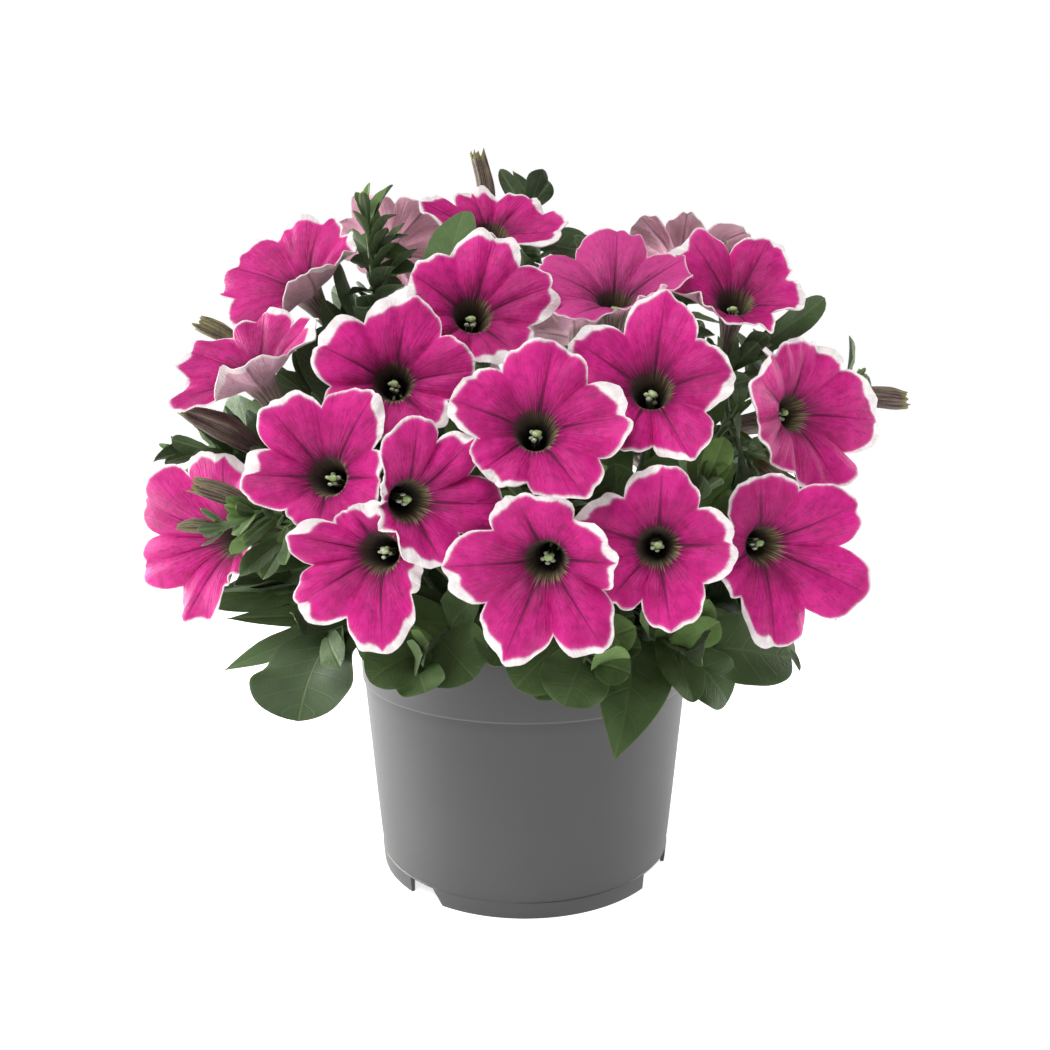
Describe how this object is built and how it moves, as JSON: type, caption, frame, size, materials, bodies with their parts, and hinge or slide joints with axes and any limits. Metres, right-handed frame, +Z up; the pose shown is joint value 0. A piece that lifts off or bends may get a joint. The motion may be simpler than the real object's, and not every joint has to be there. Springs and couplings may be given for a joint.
{
  "type": "potted petunia",
  "caption": "Mounded flowering plant with pale-edged trumpet blooms, buds and small leaves, growing from soil in a round tapered plastic pot.",
  "frame": {"origin": "on the ground under the middle of the pot", "axes": "+Z up, -Y toward the front of the plant, +X to its right as seen from the front"},
  "size_m": [0.2739, 0.2345, 0.278],
  "materials": {
    "pot": "matte warm grey",
    "soil": "matte crumbly",
    "leaf": "matte, slightly hairy",
    "petal": "matte, soft",
    "bud": "matte, veined"
  },
  "bodies": {
    "root": {"pot": "pot", "soil": "soil", "stem_01": "leaf", "stem_02": "leaf", "stem_03": "leaf", "stem_04": "leaf", "stem_05": "leaf", "stem_06": "leaf", "stem_07": "leaf", "stem_08": "leaf", "stem_09": "leaf", "stem_10": "leaf", "stem_11": "leaf", "stem_12": "leaf", "stem_13": "leaf", "stem_14": "leaf", "corolla_01": "petal", "corolla_02": "petal", "corolla_03": "petal", "corolla_04": "petal", "corolla_05": "petal", "corolla_06": "petal", "corolla_07": "petal", "corolla_08": "petal", "corolla_09": "petal", "corolla_10": "petal", "corolla_11": "petal", "corolla_12": "petal", "corolla_13": "petal", "corolla_14": "petal", "corolla_15": "petal", "corolla_16": "petal", "corolla_17": "petal", "corolla_18": "petal", "corolla_19": "petal", "corolla_20": "petal", "corolla_21": "petal", "corolla_22": "petal", "corolla_23": "petal", "corolla_24": "petal", "corolla_25": "petal", "bud_01": "bud", "bud_02": "bud", "bud_03": "bud", "bud_04": "bud", "bud_05": "bud", "bud_06": "bud", "bud_07": "bud"}
  },
  "joints": []
}
